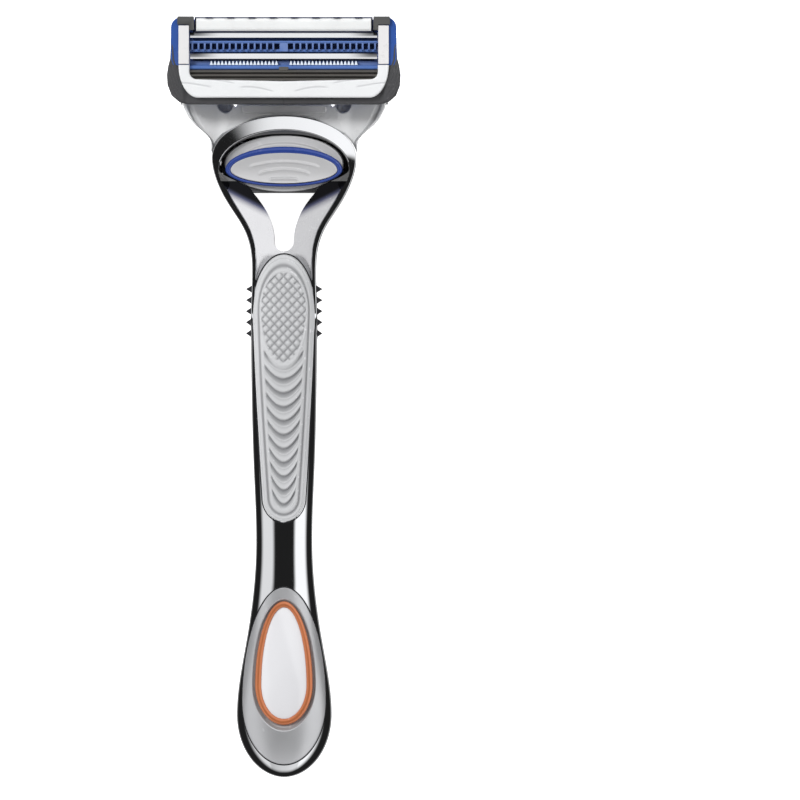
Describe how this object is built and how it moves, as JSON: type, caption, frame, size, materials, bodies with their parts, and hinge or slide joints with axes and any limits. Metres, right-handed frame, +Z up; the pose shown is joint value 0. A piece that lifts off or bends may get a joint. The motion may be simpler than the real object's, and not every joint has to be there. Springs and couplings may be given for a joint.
{
  "type": "cartridge razor",
  "caption": "Cartridge razor with a rounded metal handle, soft grips, a push button release and a sprung tilting blade cartridge.",
  "frame": {"origin": "centre of the razor's box, on the table it lies on", "axes": "the razor lies on its back with the blades up: +X across it, +Y along it towards the cartridge, +Z up from the table"},
  "size_m": [0.042, 0.137, 0.015],
  "materials": {
    "mirror_chrome": "mirror chrome plate",
    "satin_silver": "satin silver plated plastic",
    "grip_elastomer": "translucent silver-grey soft grip",
    "rear_elastomer": "matte dark soft grip",
    "copper_ring": "copper-orange metallic",
    "badge_white": "pearl white gloss",
    "core_plastic": "dark moulded plastic",
    "plunger_plastic": "natural moulded plastic",
    "spring_steel": "drawn wire",
    "ring_blue": "royal blue gloss",
    "yoke_grey": "satin light grey moulding",
    "cartridge_blue": "royal blue moulding",
    "rim_charcoal": "charcoal soft moulding",
    "bumper_white": "white gloss moulding",
    "fin_rubber": "matte black rubber",
    "comb_blue": "light blue moulding",
    "blade_steel": "ground and coated steel",
    "support_steel": "rolled steel",
    "clip_metal": "bright aluminium",
    "tray_plastic": "dark blue moulding",
    "strip_white": "waxy white lubricating strip",
    "cap_grey": "dark grey moulding"
  },
  "bodies": {
    "handle": {"handle_frame": "mirror_chrome", "front_grip": "grip_elastomer", "rear_grip": "rear_elastomer", "butt_plate": "satin_silver", "badge_ring": "copper_ring", "badge": "badge_white", "docking_housing": "core_plastic", "rear_cover": "core_plastic", "plunger_spring": "spring_steel", "button_springs": "spring_steel"},
    "plunger": {"plunger": "plunger_plastic"},
    "button": {"button_carrier": "satin_silver", "button_ring": "ring_blue", "button_cap": "satin_silver"},
    "connector": {"yoke": "yoke_grey"},
    "cartridge": {"cartridge_housing": "cartridge_blue", "soft_rim": "rim_charcoal", "front_bumper": "bumper_white", "rubber_fins": "fin_rubber", "lower_comb": "comb_blue", "middle_guard": "cartridge_blue", "blade_clips": "clip_metal", "strip_tray": "tray_plastic", "lubricating_strip": "strip_white", "corner_caps": "cap_grey"},
    "lower_blade_unit": {"lower_blade": "blade_steel", "lower_blade_support": "support_steel"},
    "upper_blade_unit": {"upper_blade": "blade_steel", "upper_blade_support": "support_steel"}
  },
  "joints": [
    {"name": "cartridge_release", "type": "slide", "parent": "handle", "child": "connector", "axis": [0, 1, 0], "range_m": [0, 0.012]},
    {"name": "cartridge_pivot", "type": "hinge", "parent": "connector", "child": "cartridge", "pos_m": [0, 0.0568, 0.0102], "axis": [1, 0, 0], "range_deg": [-40, 0], "stiffness_Nm_per_rad": 0.02, "springref_deg": 20.05},
    {"name": "plunger_slide", "type": "slide", "parent": "handle", "child": "plunger", "axis": [0, 1, 0], "range_m": [-0.0023, 0]},
    {"name": "release_button", "type": "slide", "parent": "handle", "child": "button", "axis": [0, 1, 0], "range_m": [0, 0.0018], "stiffness_N_per_m": 800, "springref_m": -0.001},
    {"name": "lower_blade_float", "type": "slide", "parent": "cartridge", "child": "lower_blade_unit", "axis": [0, 0, -1], "range_m": [0, 0.0003], "stiffness_N_per_m": 1500, "springref_m": -0.0001},
    {"name": "upper_blade_float", "type": "slide", "parent": "cartridge", "child": "upper_blade_unit", "axis": [0, 0, -1], "range_m": [0, 0.0003], "stiffness_N_per_m": 1500, "springref_m": -0.0001}
  ],
  "couplings": [
    {"joint": "plunger_slide", "follows": "cartridge_pivot", "m_per_rad": 0.0032}
  ]
}
